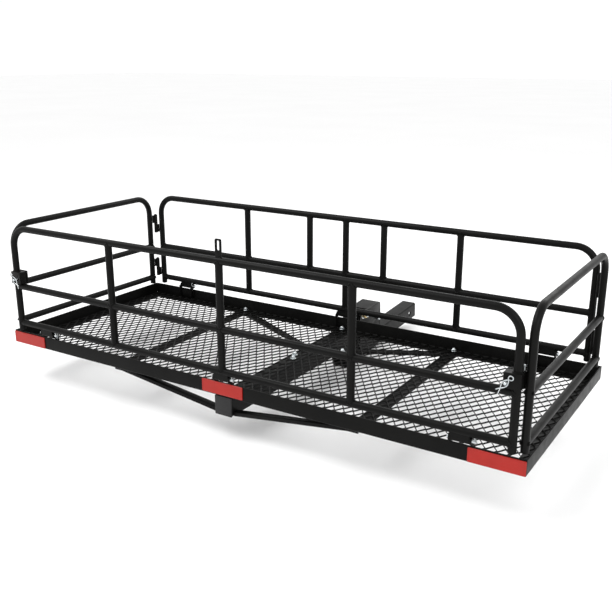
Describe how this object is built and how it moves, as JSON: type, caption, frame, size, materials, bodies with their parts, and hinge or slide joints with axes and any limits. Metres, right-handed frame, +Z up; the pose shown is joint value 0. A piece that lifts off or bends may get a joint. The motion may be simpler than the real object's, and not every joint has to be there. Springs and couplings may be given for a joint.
{
  "type": "hitch cargo carrier",
  "caption": "Folding steel cargo tray for a vehicle receiver hitch, with a mesh floor, tube fences that fold or swing, and red reflectors.",
  "frame": {"origin": "middle of the hitch pin's hole in the receiver shank, where the vehicle's receiver holds the carrier", "axes": "+X along the tray and along the hitch pin's hole, +Y towards the vehicle, +Z up"},
  "size_m": [1.524, 1.0954, 0.5078],
  "materials": {
    "black_coat": "semi-gloss black powder coat",
    "black_plastic": "matte",
    "zinc": "bright zinc plate",
    "yellow_zinc": "yellow zinc plate",
    "red_lens": "moulded red reflector"
  },
  "bodies": {
    "shank": {"receiver_shank": "black_coat", "fold_bracket": "black_coat", "pivot_bolt": "zinc", "pivot_nut": "yellow_zinc", "rest_pad": "black_coat"},
    "lock_pin": {"fold_lock_pin": "zinc"},
    "tray": {"main_tube": "black_coat", "tube_cap": "black_plastic", "tray_lug": "black_coat", "frame_near": "black_coat", "frame_back": "black_coat", "frame_left": "black_coat", "frame_right": "black_coat", "floor_mesh_left": "black_coat", "floor_mesh_right": "black_coat", "cross_bar_left": "black_coat", "cross_bar_right": "black_coat", "brace_near_left": "black_coat", "brace_near_right": "black_coat", "brace_back_left": "black_coat", "brace_back_right": "black_coat", "reflector_left": "red_lens", "reflector_centre": "red_lens", "reflector_right": "red_lens", "near_bracket_left": "black_coat", "near_bracket_centre": "black_coat", "near_bracket_right": "black_coat", "back_bracket_left": "black_coat", "back_bracket_centre": "black_coat", "back_bracket_right": "black_coat", "near_base_pin_left": "zinc", "near_base_pin_centre": "zinc", "near_base_pin_right": "zinc", "back_fence_hoop": "black_coat", "back_fence_bottom_rail": "black_coat", "back_fence_lattice": "black_coat", "hinge_pin_left_lower": "black_coat", "hinge_pin_left_upper": "black_coat", "hinge_pin_right_lower": "black_coat", "hinge_pin_right_upper": "black_coat"},
    "near_fence": {"near_fence_hoop": "black_coat", "near_fence_bottom_rail": "black_coat", "near_fence_lattice": "black_coat", "fence_tab": "black_coat", "latch_block_left": "black_coat", "latch_block_right": "black_coat"},
    "left_corner_pin": {"corner_pin_left": "zinc", "corner_clip_left": "zinc"},
    "right_corner_pin": {"corner_pin_right": "zinc", "corner_clip_right": "zinc"},
    "left_gate": {"left_gate_hoop": "black_coat", "left_gate_bottom_rail": "black_coat", "left_gate_mid_rail": "black_coat", "hinge_barrel_left_lower": "black_coat", "hinge_barrel_left_upper": "black_coat"},
    "right_gate": {"right_gate_hoop": "black_coat", "right_gate_bottom_rail": "black_coat", "right_gate_mid_rail": "black_coat", "hinge_barrel_right_lower": "black_coat", "hinge_barrel_right_upper": "black_coat"}
  },
  "joints": [
    {"name": "tray_fold", "type": "hinge", "parent": "shank", "child": "tray", "pos_m": [0, -0.35212, 0.09267], "axis": [-1, 0, 0], "range_deg": [0, 90]},
    {"name": "near_fence_fold", "type": "hinge", "parent": "tray", "child": "near_fence", "pos_m": [0, -1.02062, 0.10317], "axis": [1, 0, 0], "range_deg": [0, 90]},
    {"name": "left_gate_swing", "type": "hinge", "parent": "tray", "child": "left_gate", "pos_m": [-0.73675, -0.42897, 0.20467], "axis": [0, 0, -1], "range_deg": [0, 100]},
    {"name": "right_gate_swing", "type": "hinge", "parent": "tray", "child": "right_gate", "pos_m": [0.73675, -0.42897, 0.20467], "axis": [0, 0, 1], "range_deg": [0, 100]},
    {"name": "left_corner_pin_push", "type": "slide", "parent": "near_fence", "child": "left_corner_pin", "axis": [0, 1, 0], "range_m": [0, 0.01]},
    {"name": "right_corner_pin_push", "type": "slide", "parent": "near_fence", "child": "right_corner_pin", "axis": [0, 1, 0], "range_m": [0, 0.01]},
    {"name": "fold_lock_pin_pull", "type": "slide", "parent": "shank", "child": "lock_pin", "axis": [1, 0, 0], "range_m": [0, 0.078]}
  ]
}
